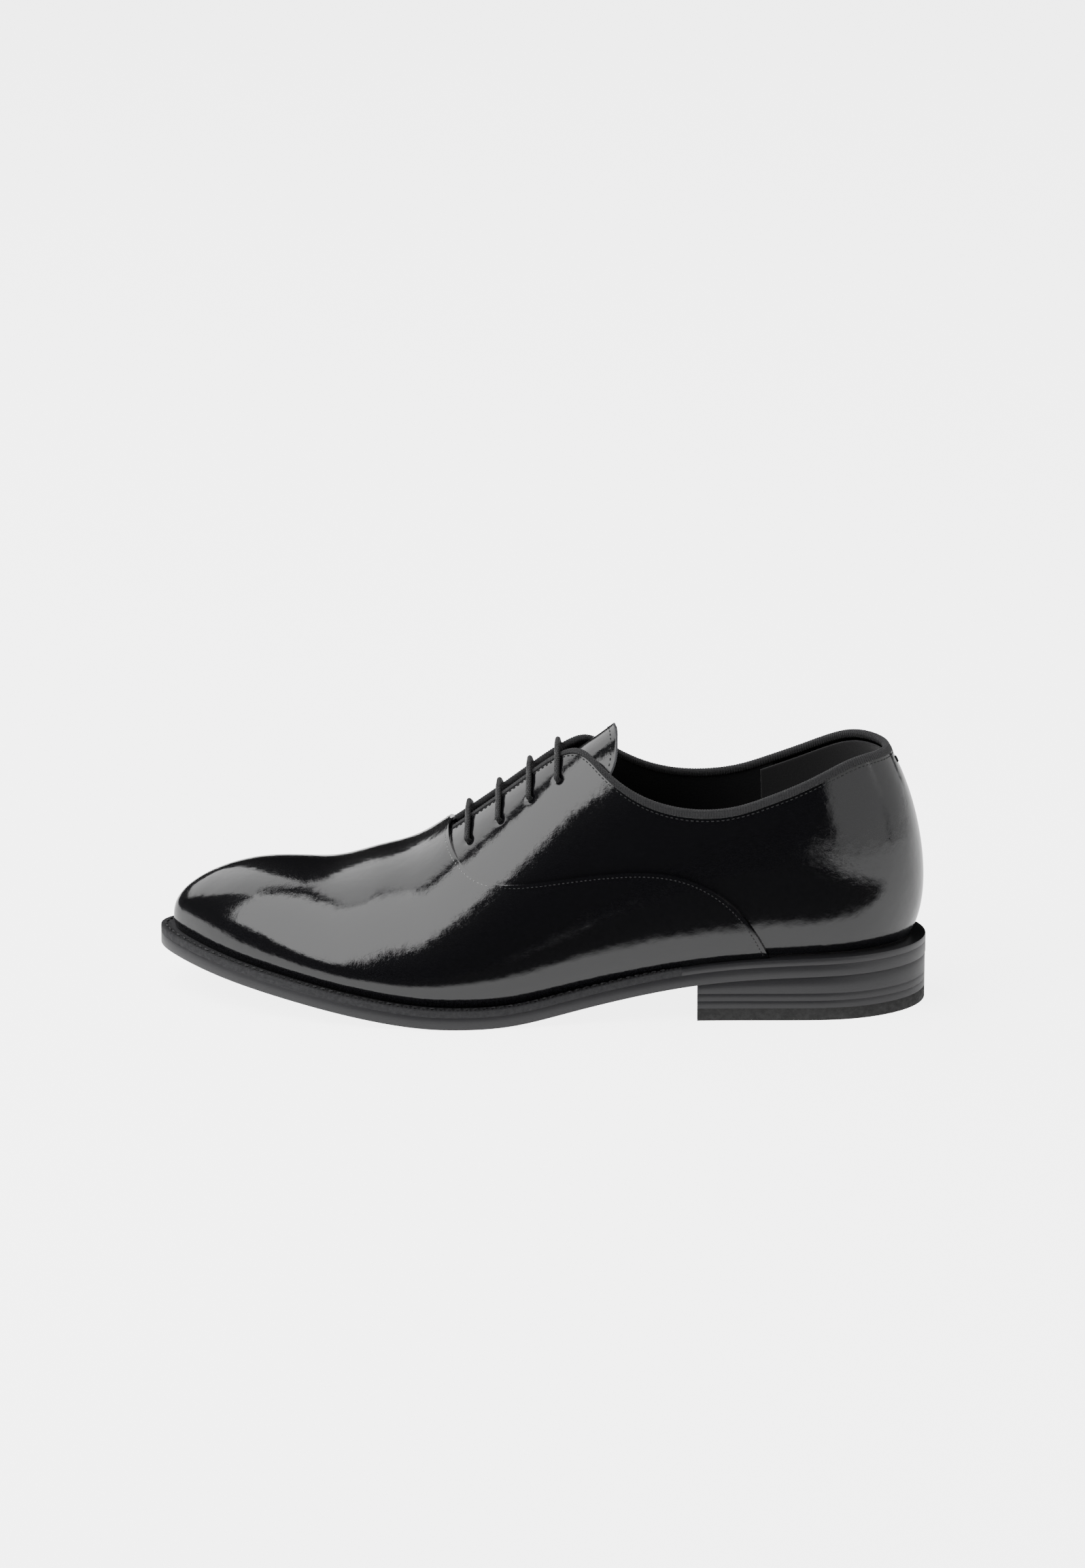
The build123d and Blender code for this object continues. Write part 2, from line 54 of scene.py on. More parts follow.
# Each sheet's depths under the last surface, outer face and inner face
VAMP, QUARTER, LINING, GRIP = (0.0, 1.4), (1.55, 2.6), (3.15, 3.75), (4.0, 4.8)
TONGUE, TONGUE_LINING = (7.0, 8.2), (8.25, 8.9)
# The tongue: height of its side edges, x of its end, the end's slant and its corners' rounding
TONGUE_EDGE_T, TONGUE_END_X, TONGUE_SLANT, TONGUE_CORNER = 0.585, 24.5, 4.5, 6.0
# How far the tongue's end stands up out of its depth, and how late along it the rise begins
TONGUE_RISE, TONGUE_FLICK = 1.6, 8
# How far the vamp laps over the quarters, and how much shorter the linings are than the edges
VAMP_LAP, LINING_SHORT_T, GRIP_SHORT_T = 7.0, 0.004, 0.018
LACE_RADIUS = 1.1
# The dimple at each eyelet: depth and radius
DIMPLE, DIMPLE_RADIUS = 0.7, 1.7
EYELET_X = (-29.0, -17.0, -5.0, 6.0)
EYELET_T, MIDDLE_T, BINDING_T = 0.71, 0.82, 0.93
INSIDE_X, INSIDE_T = -12.0, 0.61
LACE_OUT, LACE_OVER, LACE_IN = 0.1, -0.5, 5.4
# Under the facings, from one eyelet to the next pair's: side, share of the pitch, height
DIAGONAL = ((1, 1 / 6, MIDDLE_T), (1, 1 / 3, BINDING_T),
            (-1, 2 / 3, BINDING_T), (-1, 5 / 6, MIDDLE_T))
# Each free end starts here, clear of the tongue's edge, with a short straight lead into it
END_X, END_T, END_DEPTH, END_LEAD = 12.0, 0.555, 5.9, 2.0
# The lace's tucked ends, the same routes as the CAD model's
END_LATERAL = [(21.5, -22.5, 73.0), (30.0, -27.0, 59.0), (36.5, -29.3, 43.0),
               (33.0, -27.5, 28.0), (18.0, -23.0, 19.2), (0.0, -19.0, 14.4), (-20.0, -16.0, 12.1)]
END_MEDIAL = [(20.5, 18.5, 74.0), (29.5, 22.2, 60.0), (36.0, 24.5, 45.0),
              (33.0, 23.2, 29.5), (19.0, 19.5, 19.8), (1.0, 16.5, 14.6), (-18.0, 14.5, 12.2)]
# The floor's glow, to reflections and to the lens, and where reflections see it turn dark
FLOOR_GLOW = (0.75, 4.4)
FLOOR_EDGES = (("Y", -0.085, -0.105), ("X", 0.36, 0.30))
# The soft boxes: place, target, size in metres and power in watts
BOXES = (("overhead box", (-0.64, -0.45, 1.10), (-0.02, 0, 0.05), (1.05, 2.1), 28),
         ("left card", (-0.9, 0.85, 1.15), (0, 0, 0.08), (1.25, 1.4), 14),
         ("heel box", (1.0, -0.75, 0.34), (0.12, 0, 0.06), (1.3, 0.62), 2.6),
         ("back card", (1.2, 0.35, 0.34), (0.12, 0, 0.06), (1.3, 0.62), 2.6))
# Forward of this x the upper's rows bend down over the toe, gathering by this share
NOSE_X, NOSE_GATHER = -128.0, 0.5


# Camera and light
def add_camera():
    """A long lens from the shoe's outer side, a little above it."""
    azimuth, elevation = math.radians(2.5), math.radians(17.0)
    lens, sensor, field, raised = 180.0, 36.0, 0.6199, 0.0816
    distance = field * lens / sensor
    round_x, round_y = math.sin(azimuth), -math.cos(azimuth)
    flat, tall = math.cos(elevation), math.sin(elevation)
    back = np.array([round_x * flat, round_y * flat, tall])
    up = np.array([-round_x * tall, -round_y * tall, flat])
    aim = up * raised
    data = bpy.data.cameras.new("camera")
    data.lens = lens
    data.sensor_width = sensor
    data.clip_end = 20.0
    camera = bpy.data.objects.new("camera", data)
    camera.location = aim + back * distance
    camera.rotation_euler = (math.pi / 2 - elevation, 0, azimuth)
    bpy.context.scene.collection.objects.link(camera)
    bpy.context.scene.camera = camera


def add_panel(name, place, target, size, power):
    """A soft box: an area light at a place, facing a target."""
    from mathutils import Vector
    data = bpy.data.lights.new(name, "AREA")
    data.shape = "RECTANGLE"
    data.size, data.size_y = size
    data.energy = power
    lamp = bpy.data.objects.new(name, data)
    lamp.location = place
    lamp.rotation_euler = (Vector(target) - Vector(place)).to_track_quat("-Z", "Y").to_euler()
    bpy.context.scene.collection.objects.link(lamp)


def floor_material():
    """White paper that glows, brightest to the lens; reflections see it dark close in front."""
    material = plain_material("studio floor", (0.9, 0.9, 0.9), 0.9, Emission_Color=(1, 1, 1, 1))
    tree = material.node_tree
    shader = tree.nodes["Principled BSDF"]
    place = add_node(tree, "ShaderNodeTexCoord")
    axes = add_node(tree, "ShaderNodeSeparateXYZ")
    link(tree, place.outputs["Object"], axes.inputs["Vector"])
    path = add_node(tree, "ShaderNodeLightPath")
    glow = add_node(tree, "ShaderNodeMapRange")
    glow.inputs["To Min"].default_value = FLOOR_GLOW[0]
    glow.inputs["To Max"].default_value = FLOOR_GLOW[1]
    link(tree, path.outputs["Is Camera Ray"], glow.inputs["Value"])
    link(tree, glow.outputs["Result"], shader.inputs["Emission Strength"])
    share = path.outputs["Is Glossy Ray"]
    for axis, bright, dark in FLOOR_EDGES:
        ramp = add_node(tree, "ShaderNodeMapRange")
        ramp.inputs["From Min"].default_value = bright
        ramp.inputs["From Max"].default_value = dark
        product = add_node(tree, "ShaderNodeMath", operation="MULTIPLY")
        link(tree, axes.outputs[axis], ramp.inputs["Value"])
        link(tree, ramp.outputs["Result"], product.inputs[0])
        link(tree, share, product.inputs[1])
        share = product.outputs["Value"]
    black = add_node(tree, "ShaderNodeBsdfDiffuse", Color=(0.02, 0.02, 0.02, 1))
    mix = add_node(tree, "ShaderNodeMixShader")
    link(tree, share, mix.inputs[0])
    link(tree, shader.outputs["BSDF"], mix.inputs[1])
    link(tree, black.outputs["BSDF"], mix.inputs[2])
    link(tree, mix.outputs["Shader"], tree.nodes["Material Output"].inputs["Surface"])
    return material


def add_studio():
    """A pale floor in a dark room, and the soft boxes that draw the reflections."""
    world = bpy.data.worlds.new("room")
    bpy.context.scene.world = world
    world.use_nodes = True
    world.node_tree.nodes["Background"].inputs["Color"].default_value = (0.012, 0.012, 0.012, 1)
    along, across = np.linspace(-3, 3, 7), np.linspace(-2, 3, 6)
    x, y = np.meshgrid(along / MM, across / MM, indexing="ij")
    points = np.stack([x, y, np.zeros(x.shape)], -1)
    floor = mesh_object("floor", points, grid_faces(len(along), len(across)))
    floor.data.materials.append(floor_material())
    for box in BOXES:
        add_panel(*box)


# Shape of the last
def natural_spline(stations):
    """The natural cubic spline through (x, value) stations, as a function of x."""
    x, value = np.array(stations, float).T
    gap = np.diff(x)
    matrix = np.eye(len(x))
    right = np.zeros(len(x))
    for i in range(1, len(x) - 1):
        matrix[i, i - 1:i + 2] = gap[i - 1], 2 * (gap[i - 1] + gap[i]), gap[i]
        slope = (value[i + 1] - value[i]) / gap[i]
        right[i] = 6 * (slope - (value[i] - value[i - 1]) / gap[i - 1])
    bend = np.linalg.solve(matrix, right)

    def at(query):
        q = np.clip(np.asarray(query, float), x[0], x[-1])
        i = np.clip(np.searchsorted(x, q) - 1, 0, len(x) - 2)
        a, b, h = x[i + 1] - q, q - x[i], gap[i]
        start, end = value[i] / h - bend[i] * h / 6, value[i + 1] / h - bend[i + 1] * h / 6
        return (bend[i] * a ** 3 + bend[i + 1] * b ** 3) / (6 * h) + start * a + end * b

    return at


def closed_spline(points):
    """The closed cubic spline through plan points, as a function of s in turns."""
    p = np.array(points, float)
    count = len(p)
    step = np.linalg.norm(np.roll(p, -1, 0) - p, axis=1)
    knot = np.concatenate([[0], np.cumsum(step)])
    matrix = np.zeros((count, count))
    right = np.zeros((count, 2))
    for i in range(count):
        after = (i + 1) % count
        matrix[i, i - 1] += step[i - 1]
        matrix[i, i] += 2 * (step[i - 1] + step[i])
        matrix[i, after] += step[i]
        right[i] = 6 * ((p[after] - p[i]) / step[i] - (p[i] - p[i - 1]) / step[i - 1])
    bend = np.linalg.solve(matrix, right)
    p, bend = np.vstack([p, p[:1]]), np.vstack([bend, bend[:1]])

    def at(turns):
        q = (np.asarray(turns, float) % 1.0) * knot[-1]
        i = np.clip(np.searchsorted(knot, q, side="right") - 1, 0, count - 1)
        a, b, h = (knot[i + 1] - q)[..., None], (q - knot[i])[..., None], step[i][..., None]
        start, end = p[i] / h - bend[i] * h / 6, p[i + 1] / h - bend[i + 1] * h / 6
        return (bend[i] * a ** 3 + bend[i + 1] * b ** 3) / (6 * h) + start * a + end * b

    return at


outline = closed_spline([
    (151.0, 1.5), (147.5, -11.5), (138.0, -22.0), (122.0, -30.0), (100.0, -33.0), (62.0, -35.0),
    (20.0, -41.0), (-10.0, -48.0), (-42.0, -51.5), (-72.0, -48.0), (-100.0, -38.5),
    (-125.0, -25.0), (-142.0, -10.5), (-151.5, 6.0), (-147.0, 19.0), (-132.0, 31.5),
    (-100.0, 46.0), (-64.0, 51.5), (-30.0, 47.0), (5.0, 36.5), (35.0, 31.0), (62.0, 33.0),
    (100.0, 35.5), (122.0, 33.0), (138.0, 25.0), (147.5, 14.5)])
# Along x: the sole's underside, the crest line, the upper's margin on the sole, the swell of both
# sides and the power of the cross section's width
base_z = natural_spline([
    (-160.0, 18.0), (-151.5, 16.4), (-125.0, 11.8), (-95.0, 7.2), (-65.0, 2.8), (-42.0, 0.35),
    (-26.0, 0.0), (-10.0, 0.9), (10.0, 4.6), (35.0, 9.8), (60.0, 14.1), (85.0, 16.6),
    (120.0, 18.0), (152.0, 18.4), (160.0, 18.4)])
crest_z = natural_spline([
    (-150, 42.5), (-140, 45.2), (-125, 48.6), (-110, 50.8), (-95, 50.9), (-82, 51.2), (-65, 56.0),
    (-50, 61.0), (-37, 69.5), (-20, 82.2), (0, 97.8), (20, 111.5), (45, 126), (75, 136),
    (155, 136)])
crest_y = natural_spline([
    (-150, 6.0), (-110, 6.0), (-60, 6.0), (-20, 4.5), (20, 2.5), (75, 1.5), (155, 1.5)])
margin = natural_spline([
    (-152, 6.0), (-120, 5.2), (-60, 5.0), (0, 4.2), (40, 3.2), (90, 3.0), (130, 3.6), (152, 4.4)])
bulge_outer = natural_spline([
    (-152, 0.8), (-120, 1.6), (-80, 3.4), (-40, 5.0), (10, 5.4), (60, 5.0), (110, 5.0), (152, 5.0)])
bulge_inner = natural_spline([
    (-152, 0.8), (-120, 1.4), (-80, 3.0), (-40, 4.2), (10, 6.0), (60, 6.6), (110, 5.2), (152, 5.0)])
height_power = natural_spline([
    (-152, 4.2), (-125, 3.6), (-90, 2.6), (-50, 2.25), (-10, 2.05), (30, 2.2), (70, 2.6),
    (110, 3.1), (152, 3.35)])
# The vamp's back edge, x by height, and the quarters' top edge, height by x
seam_x = natural_spline([
    (0.0, 90.0), (0.101, 80.4), (0.187, 65.4), (0.243, 48.3), (0.291, 26.8), (0.35, 1.9),
    (0.426, -16.6), (0.556, -29.0), (0.75, -35.5), (1.0, -37.0)])
top_t = natural_spline([
    (-48, 0.905), (-37, 0.905), (-20, 0.90), (-6, 0.895), (5, 0.885), (13, 0.82), (22, 0.66),
    (32, 0.526), (44, 0.436), (55, 0.391), (66, 0.369), (78, 0.366), (90, 0.382), (103, 0.408),
    (117, 0.444), (132, 0.478), (148, 0.487)])


def outward(s):
    """The outline's unit normal in plan, pointing out of the shoe."""
    run = outline(s + TINY) - outline(s - TINY)
    out = np.stack([-run[..., 1], run[..., 0]], -1)
    return out / np.linalg.norm(out, axis=-1, keepdims=True)


def last_point(s, t):
    """The last surface at s and t. Its level is the sine of t. The plan runs in from the feather
    line to the crest line as a super-ellipse of the level, pushed out by a swell that peaks low on
    the side, and the height runs from the sole's edge to the crest with the level."""
    edge, out = outline(s), outward(s)
    foot = edge - out * margin(edge[..., 0])[..., None]
    x = foot[..., 0]
    soft = CREST_SOFT * (np.logaddexp(0, (x - CREST_FRONT) / CREST_SOFT)
                         - np.logaddexp(0, (x - CREST_BACK) / CREST_SOFT))
    crest_x = CREST_FRONT + soft
    crest = np.stack([crest_x, crest_y(crest_x)], -1)
    inner = 1 / (1 + np.exp(-(foot[..., 1] - crest_y(x)) / 6.0))
    bulge = bulge_outer(x) * (1 - inner) + bulge_inner(x) * inner
    level = np.sin(t * math.pi / 2)
    pull = 1 - np.clip(1 - level ** height_power(x), 0, 1) ** (1 / WIDTH_POWER)
    swell = (level / BULGE_LEVEL) * np.exp(1 - level / BULGE_LEVEL) * (1 - level ** 4)
    plan = foot + (crest - foot) * pull[..., None] + out * (bulge * swell)[..., None]
    low = base_z(plan[..., 0]) + SOLE_EDGE
    z = low + (crest_z(plan[..., 0]) - low) * level
    return np.concatenate([plan, z[..., None]], -1)


def normal_at(s, t):
    """The last surface's unit normal, pointing out."""
    flat = np.clip(t, 2 * TINY, 1 - 4 * TINY)
    along = last_point(s + TINY, flat) - last_point(s - TINY, flat)
    up = last_point(s, flat + TINY) - last_point(s, flat - TINY)
    normal = np.cross(up, along)
    return normal / np.linalg.norm(normal, axis=-1, keepdims=True)


def under(s, t, depth):
    """The point a depth under the last surface, along its normal."""
    s, t = np.broadcast_arrays(np.asarray(s, float), np.asarray(t, float))
    return last_point(s, t) - normal_at(s, t) * np.asarray(depth, float)[..., None]


S_TABLE = np.linspace(0, 1, 4001)
SEAM_T_TABLE = np.linspace(0, 1, 401)
FEATHER_X = last_point(S_TABLE, np.zeros_like(S_TABLE))[:, 0]
S_TOE = float(S_TABLE[int(np.argmin(FEATHER_X))])


def s_in_table(side, x, line_x):
    """The s on one side (-1 outer, 1 inner) where a line round the shoe has this x."""
    turn = int(np.argmin(line_x))
    if side < 0:
        return np.interp(-np.asarray(x, float), -line_x[:turn], S_TABLE[:turn])
    return np.interp(np.asarray(x, float), line_x[turn:], S_TABLE[turn:])


def s_at(side, x):
    """The s on one side whose feather point has this x."""
    return s_in_table(side, x, FEATHER_X)


def seam_t(x):
    """The height of the vamp's back edge at x, 0 behind its heel end."""
    return np.interp(-np.asarray(x, float), -seam_x(SEAM_T_TABLE), SEAM_T_TABLE)


# Meshes
def mesh_object(name, points, faces, rim_from=None):
    """A smooth mesh from points in millimetres; faces from rim_from on take the second material."""
    mesh = bpy.data.meshes.new(name)
    mesh.from_pydata((points.reshape(-1, 3) * MM).tolist(), [], faces.tolist())
    mesh.polygons.foreach_set("use_smooth", np.ones(len(mesh.polygons), bool))
    if rim_from is not None:
        second = np.arange(len(mesh.polygons)) >= rim_from
        mesh.polygons.foreach_set("material_index", second.astype(int))
    mesh.validate()
    piece = bpy.data.objects.new(name, mesh)
    bpy.context.scene.collection.objects.link(piece)
    return piece


def grid_faces(rows, columns, wrap_rows=False, wrap_columns=False):
    """Quads of a rows by columns grid of points, joined round where it wraps."""
    i = np.arange(rows if wrap_rows else rows - 1)[:, None]
    j = np.arange(columns if wrap_columns else columns - 1)[None, :]
    a, b = i * columns + j, i * columns + (j + 1) % columns
    c, d = ((i + 1) % rows) * columns + (j + 1) % columns, ((i + 1) % rows) * columns + j
    return np.stack([a, b, c, d], -1).reshape(-1, 4)


def facing_out(points, faces):
    """The faces turned so that the closed mesh's volume is positive."""
    p = points.reshape(-1, 3)
    a, b, c, d = (p[faces[:, k]] for k in range(4))
    volume = (np.cross(a, b) * c).sum() + (np.cross(a, c) * d).sum()
    return faces if volume > 0 else faces[:, ::-1]


def slab(name, outer, inner, bevel):
    """A closed sheet between two grids, with its rim rounded by a bevel."""
    rows, columns = outer.shape[:2]
    count = rows * columns
    index = np.arange(count).reshape(rows, columns)
    loop = np.concatenate([index[0, :-1], index[:-1, -1], index[-1, :0:-1], index[:0:-1, 0]])
    after = np.roll(loop, -1)
    rim = np.stack([loop, loop + count, after + count, after], -1)
    face = grid_faces(rows, columns)
    faces = np.concatenate([face, face[:, ::-1] + count, rim])
    points = np.concatenate([outer.reshape(-1, 3), inner.reshape(-1, 3)])
    piece = mesh_object(name, points, facing_out(points, faces), 2 * len(face))
    modifier = piece.modifiers.new("rounded rim", "BEVEL")
    modifier.width = bevel * MM
    modifier.segments = 3
    modifier.limit_method = "ANGLE"
    modifier.angle_limit = math.radians(55)
    return piece


def sheet(name, grid, depths, bevel):
    """A closed sheet over a grid of (s, t), between two depths under the last surface."""
    s, t = grid
    return slab(name, under(s, t, depths[0]), under(s, t, depths[1]), bevel)


def finish_piece(piece, node, materials, body="shoe"):
    """Materials, body and the CAD node that a piece stands for."""
    for material in materials:
        piece.data.materials.append(material)
    if node:
        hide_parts(node)
    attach(piece, body)
    return piece


def tube(name, route, radius, resolution=6):
    """A round cord along a route of control points, as a quadratic NURBS curve."""
    data = bpy.data.curves.new(name, "CURVE")
    data.dimensions = "3D"
    data.bevel_depth = radius * MM
    data.bevel_resolution = 5
    data.resolution_u = resolution
    data.use_fill_caps = True
    spline = data.splines.new("NURBS")
    spline.points.add(len(route) - 1)
    for point, place in zip(spline.points, route):
        point.co = (place[0] * MM, place[1] * MM, place[2] * MM, 1)
    spline.order_u = 3
    spline.use_endpoint_u = True
    piece = bpy.data.objects.new(name, data)
    bpy.context.scene.collection.objects.link(piece)
    return piece


def way_along(path):
    """The distance along a path at each of its points: the running sum of its steps."""
    return np.concatenate([[0], np.cumsum(np.linalg.norm(np.diff(path, axis=0), axis=1))])


def stitches(name, path, normal, length, pitch, radius, sink=0.12):
    """A row of short rounded threads along a path, lying on the surface with this normal. A thread
    is thickest at its middle: its radius falls as the root of 1 less the fourth power."""
    rings, sides = 7, 8
    way = way_along(path)
    centres = np.arange(pitch, way[-1] - pitch / 2, pitch)
    take = lambda values, at: np.stack([np.interp(at, way, values[:, k]) for k in range(3)], -1)
    middle, up = take(path, centres), take(normal, centres)
    run = take(path, centres + 0.3) - take(path, centres - 0.3)
    run /= np.linalg.norm(run, axis=-1, keepdims=True)
    side = np.cross(up, run)
    side /= np.linalg.norm(side, axis=-1, keepdims=True)
    up = np.cross(run, side)
    along = np.linspace(-1, 1, rings)
    bow = np.sqrt(np.clip(1 - along ** 4, 0.02, 1))
    angle = np.linspace(0, 2 * math.pi, sides, endpoint=False)
    lift = (bow[:, None] * (1 + np.sin(angle)[None, :])) * radius - sink - radius * 0.4
    sway = bow[:, None] * np.cos(angle)[None, :] * radius
    reach = (along * length / 2)[None, :, None, None]
    points = (middle[:, None, None] + run[:, None, None] * reach
              + up[:, None, None] * lift[None, ..., None]
              + side[:, None, None] * sway[None, ..., None])
    one = grid_faces(rings, sides, wrap_columns=True)
    first = np.arange(len(centres)) * rings * sides
    faces = (one[None] + first[:, None, None]).reshape(-1, 4)
    return mesh_object(name, points, faces)


# Grids of (s, t) over the last
def side_run(side, x_back, x_front, count):
    """s at equal steps along one side, from the back to the front."""
    return np.linspace(float(s_at(side, x_back)), float(s_at(side, x_front)), count)


def heel_run(x_end, count):
    """s at equal steps round the heel, between the same x on both sides."""
    return np.linspace(float(s_at(1, x_end)) - 1, float(s_at(-1, x_end)), count)


def panel(s, low_t, high_t, rows):
    """s and t of a panel between two heights, each a function of the feather point's x."""
    x = last_point(s, np.zeros(len(s)))[:, 0]
    low, high = low_t(x), high_t(x)
    t = low[:, None] + (high - low)[:, None] * np.linspace(0, 1, rows)[None, :]
    return s[:, None] + 0 * t, t


def bisect(function, target, low, high):
    """Where a falling function meets its target, by halving, for whole arrays."""
    for _ in range(32):
        middle = (low + high) / 2
        above = function(middle) > target
        low = np.where(above, middle, low)
        high = np.where(above, high, middle)
    return (low + high) / 2


def crossing_grid(x_back, x_front, stations, spread, edge_t=0.0, nose=0):
    """s and t over the crest from x_back(t) to x_front, then nose rows down over the toe. Each row
    crosses at one x from edge_t up to its highest t and down again; its lean towards the back edge
    fades with the square of the way forward."""
    v = np.linspace(-1, 1, spread)[None, :]
    w = np.linspace(0, 1, stations)[:, None]
    start = float(x_back(1.0))
    lean = (x_back(1 - (1 - edge_t) * np.abs(v)) - start) * (1 - w) ** 2
    x, v = np.broadcast_arrays(x_front + (start - x_front) * (1 - w) + lean, v)
    toe = np.full(x.shape, S_TOE)
    highest = bisect(lambda t: -last_point(toe, t)[..., 0], -x, np.zeros(x.shape), np.ones(x.shape))
    t = highest - (highest - edge_t) * np.abs(v)
    outer_s = bisect(lambda s: last_point(s, t)[..., 0], x, np.zeros(x.shape), toe)
    inner_s = 1 - bisect(lambda s: last_point(1 - s, t)[..., 0], x, np.zeros(x.shape), 1 - toe)
    s = np.where(v < 0, outer_s, inner_s)
    share = np.linspace(0, 1, nose + 1)[1:, None]
    nose_s = S_TOE + (s[-1] - S_TOE) * (1 - NOSE_GATHER * share)
    return np.concatenate([s, nose_s]), np.concatenate([t, t[-1] * (1 - share)])


# Materials
def link(tree, start, end):
    """Joins two sockets."""
    tree.links.new(start, end)


def add_node(tree, kind, **settings):
    """A node with its settings: sockets by name, with spaces as underscores, and properties."""
    node = tree.nodes.new(kind)
    for key, value in settings.items():
        label = key.replace("_", " ")
        if hasattr(node, key):
            setattr(node, key, value)
        else:
            node.inputs[label].default_value = value
    return node


def new_group(name, inputs, outputs):
    """An empty node group with named sockets; returns it with its input and output nodes."""
    group = bpy.data.node_groups.new(name, "ShaderNodeTree")
    kind = "NodeSocketFloat"
    for label, value in inputs:
        socket = group.interface.new_socket(name=label, in_out="INPUT", socket_type=kind)
        socket.default_value = value
    for label in outputs:
        group.interface.new_socket(name=label, in_out="OUTPUT", socket_type=kind)
    return group, group.nodes.new("NodeGroupInput"), group.nodes.new("NodeGroupOutput")


def crinkle_group():
    """Height of patent leather: a slow orange peel, plus a share of a fine hair-like crinkle."""
    inputs = [("Peel scale", 90.0), ("Crinkle scale", 900.0), ("Crinkle share", 0.12)]
    group, start, end = new_group("patent crinkle", inputs, ["Height"])
    place = add_node(group, "ShaderNodeTexCoord")
    peel = add_node(group, "ShaderNodeTexNoise", Detail=2.0, Roughness=0.5)
    fine = add_node(group, "ShaderNodeTexNoise", Detail=4.0, Roughness=0.6, Distortion=1.5)
    share = add_node(group, "ShaderNodeMath", operation="MULTIPLY")
    total = add_node(group, "ShaderNodeMath", operation="ADD")
    link(group, place.outputs["Object"], peel.inputs["Vector"])
    link(group, place.outputs["Object"], fine.inputs["Vector"])
    link(group, start.outputs["Peel scale"], peel.inputs["Scale"])
    link(group, start.outputs["Crinkle scale"], fine.inputs["Scale"])
    link(group, fine.outputs["Fac"], share.inputs[0])
    link(group, start.outputs["Crinkle share"], share.inputs[1])
    link(group, peel.outputs["Fac"], total.inputs[0])
    link(group, share.outputs["Value"], total.inputs[1])
    link(group, total.outputs["Value"], end.inputs["Height"])
    return group


def streak_group():
    """Burnish marks: noise drawn out along the shoe and thin in height."""
    group, start, end = new_group("burnish streaks", [("Along", 35.0), ("Up", 1500.0)], ["Mask"])
    place = add_node(group, "ShaderNodeTexCoord")
    scale = add_node(group, "ShaderNodeCombineXYZ")
    stretch = add_node(group, "ShaderNodeVectorMath", operation="MULTIPLY")
    noise = add_node(group, "ShaderNodeTexNoise", Scale=1.0, Detail=5.0, Roughness=0.65)
    link(group, start.outputs["Along"], scale.inputs["X"])
    link(group, start.outputs["Along"], scale.inputs["Y"])
    link(group, start.outputs["Up"], scale.inputs["Z"])
    link(group, place.outputs["Object"], stretch.inputs[0])
    link(group, scale.outputs["Vector"], stretch.inputs[1])
    link(group, stretch.outputs["Vector"], noise.inputs["Vector"])
    link(group, noise.outputs["Fac"], end.inputs["Mask"])
    return group


def weave_group():
    """A fine plait: two families of slanting bands, multiplied."""
    group, start, end = new_group("plait", [("Scale", 900.0)], ["Height"])
    place = add_node(group, "ShaderNodeTexCoord")
    bands = []
    for direction in ((1.0, 0.4, 1.0), (1.0, 0.4, -1.0)):
        lean = add_node(group, "ShaderNodeVectorMath", operation="DOT_PRODUCT")
        lean.inputs[1].default_value = direction
        size = add_node(group, "ShaderNodeMath", operation="MULTIPLY")
        wave = add_node(group, "ShaderNodeMath", operation="SINE")
        link(group, place.outputs["Object"], lean.inputs[0])
        link(group, lean.outputs["Value"], size.inputs[0])
        link(group, start.outputs["Scale"], size.inputs[1])
        link(group, size.outputs["Value"], wave.inputs[0])
        bands.append(wave)
    both = add_node(group, "ShaderNodeMath", operation="MULTIPLY")
    link(group, bands[0].outputs["Value"], both.inputs[0])
    link(group, bands[1].outputs["Value"], both.inputs[1])
    link(group, both.outputs["Value"], end.inputs["Height"])
    return group


def plain_material(name, colour, roughness, **settings):
    """A Principled material; settings are shader sockets with spaces as underscores."""
    material = bpy.data.materials.new(name)
    material.use_nodes = True
    shader = material.node_tree.nodes["Principled BSDF"]
    shader.inputs["Base Color"].default_value = (*colour, 1)
    shader.inputs["Roughness"].default_value = roughness
    for key, value in settings.items():
        shader.inputs[key.replace("_", " ")].default_value = value
    return material


def relief(material, group, output, strength, distance, targets=("Normal",), **values):
    """Adds a bump from a group's output to a material, and returns the group's node."""
    tree = material.node_tree
    shader = tree.nodes["Principled BSDF"]
    source = tree.nodes.new("ShaderNodeGroup")
    source.node_tree = group
    for key, value in values.items():
        source.inputs[key.replace("_", " ")].default_value = value
    bump = add_node(tree, "ShaderNodeBump", Strength=strength, Distance=distance)
    link(tree, source.outputs[output], bump.inputs["Height"])
    for target in targets:
        link(tree, bump.outputs["Normal"], shader.inputs[target])
    return source


def vary(material, source, output, low, high):
    """Varies the roughness between two limits with a group's output."""
    tree = material.node_tree
    spread = add_node(tree, "ShaderNodeMapRange")
    spread.inputs["To Min"].default_value = low
    spread.inputs["To Max"].default_value = high
    link(tree, source.outputs[output], spread.inputs["Value"])
    link(tree, spread.outputs["Result"], tree.nodes["Principled BSDF"].inputs["Roughness"])


